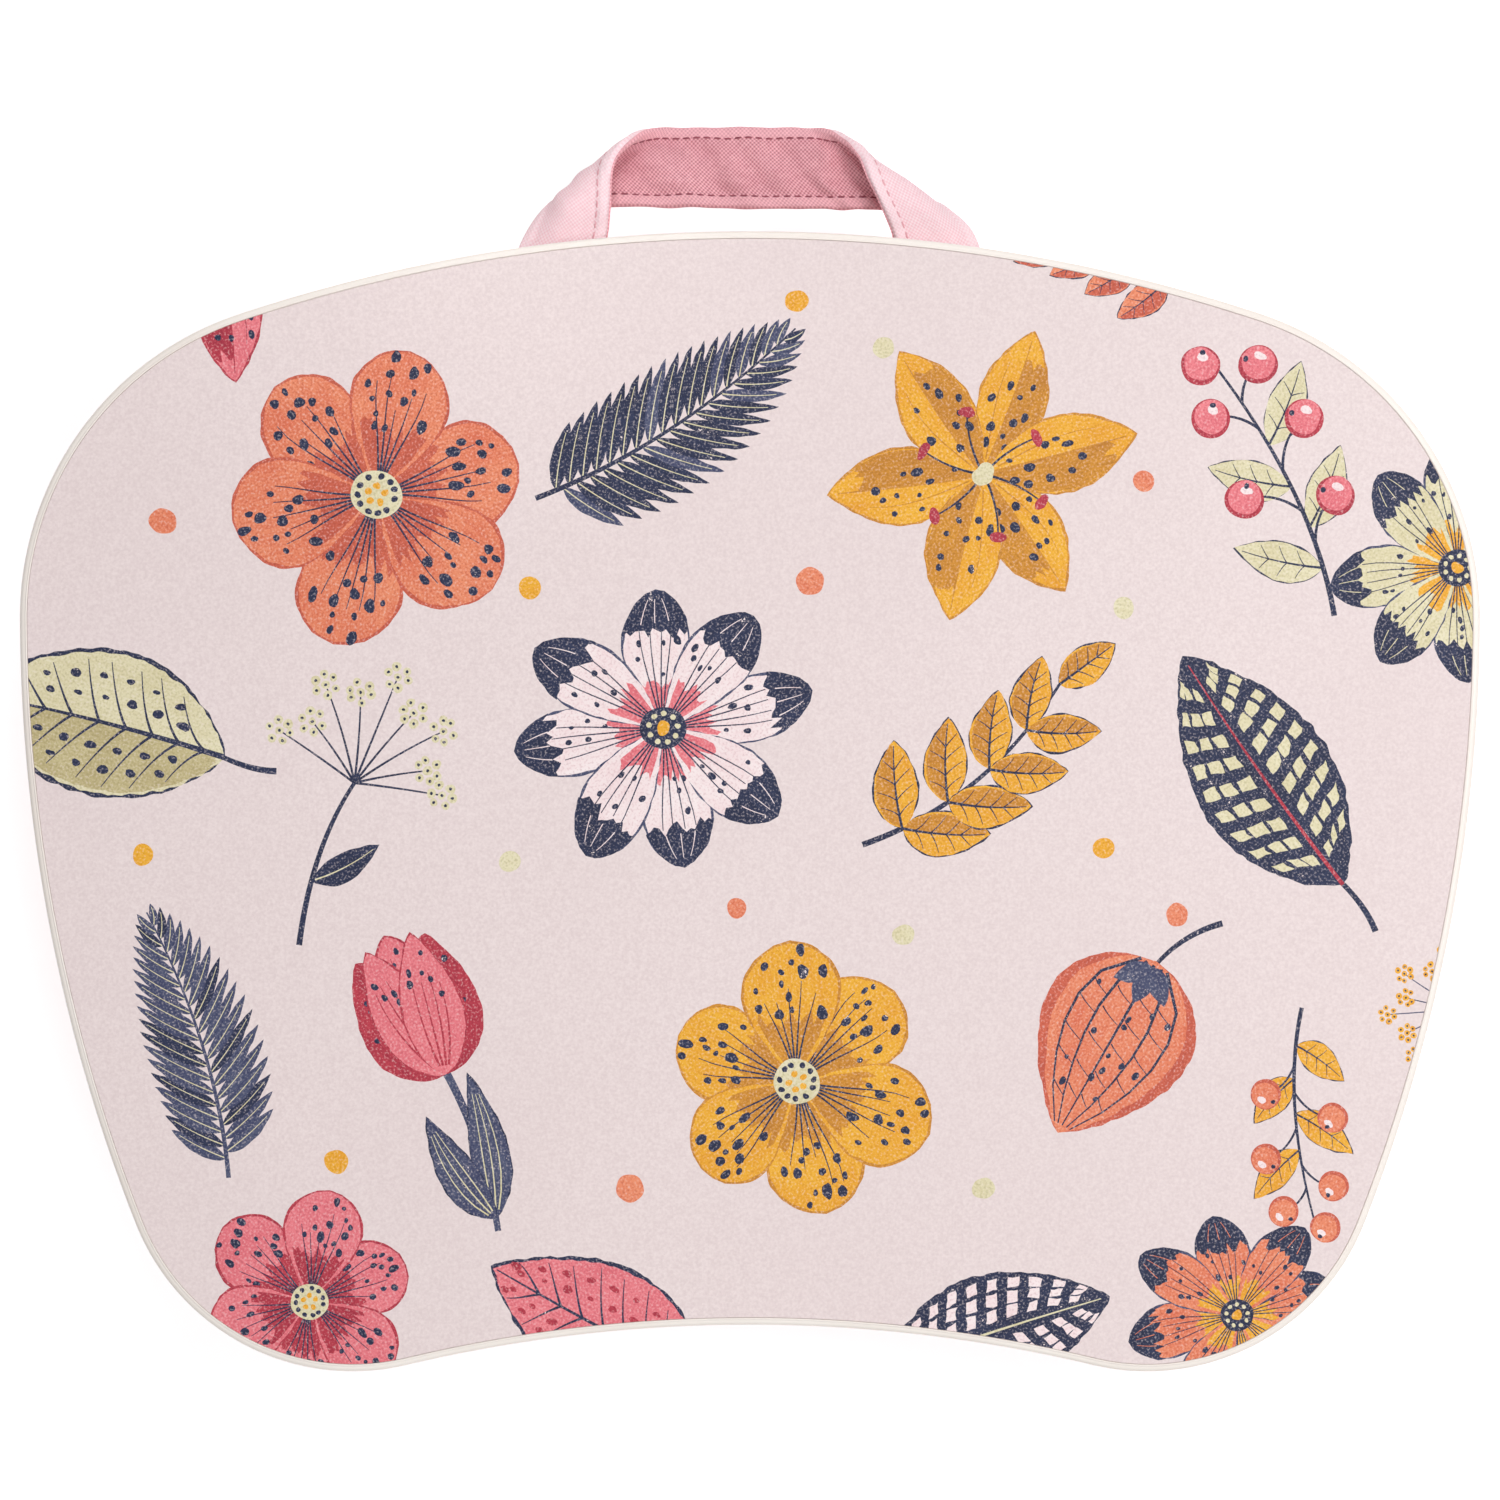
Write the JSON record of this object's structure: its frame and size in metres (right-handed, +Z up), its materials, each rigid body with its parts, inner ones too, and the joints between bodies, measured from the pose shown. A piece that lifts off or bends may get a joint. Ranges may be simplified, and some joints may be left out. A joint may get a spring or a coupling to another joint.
{
  "type": "lap tray with cushion",
  "caption": "Contoured lap tray: a printed board with a rounded plastic edge on a bead-filled fabric cushion, with a folded strap handle at the back.",
  "frame": {"origin": "middle of the flat on the cushion's base, under the middle of the board", "axes": "+X to the user's right, +Y away from the user towards the handle, +Z up through the board"},
  "size_m": [0.438, 0.3742, 0.064],
  "materials": {
    "printed_laminate": "satin",
    "fibreboard": "matte",
    "backing_paper": "matte",
    "cream_edging": "satin",
    "cushion_cloth": "matte",
    "beads": "matte",
    "strap_cloth": "matte",
    "strap_lining": "matte",
    "staple_wire": "satin"
  },
  "bodies": {
    "tray": {"printed_top": "printed_laminate", "board_core": "fibreboard", "underside_sheet": "backing_paper", "edge_moulding": "cream_edging", "cushion_top_panel": "cushion_cloth", "cushion_side_band": "cushion_cloth", "cushion_base_panel": "cushion_cloth", "bead_fill": "beads", "panel_staples": "staple_wire", "strap_tail_left": "strap_cloth", "strap_tail_right": "strap_cloth", "strap_staples": "staple_wire"},
    "handle": {"handle_face": "strap_cloth", "handle_lining": "strap_lining"}
  },
  "joints": [
    {"name": "handle_swing", "type": "hinge", "parent": "tray", "child": "handle", "pos_m": [0, 0.15305, 0.0534], "axis": [1, 0, 0], "range_deg": [-45, 0]}
  ]
}
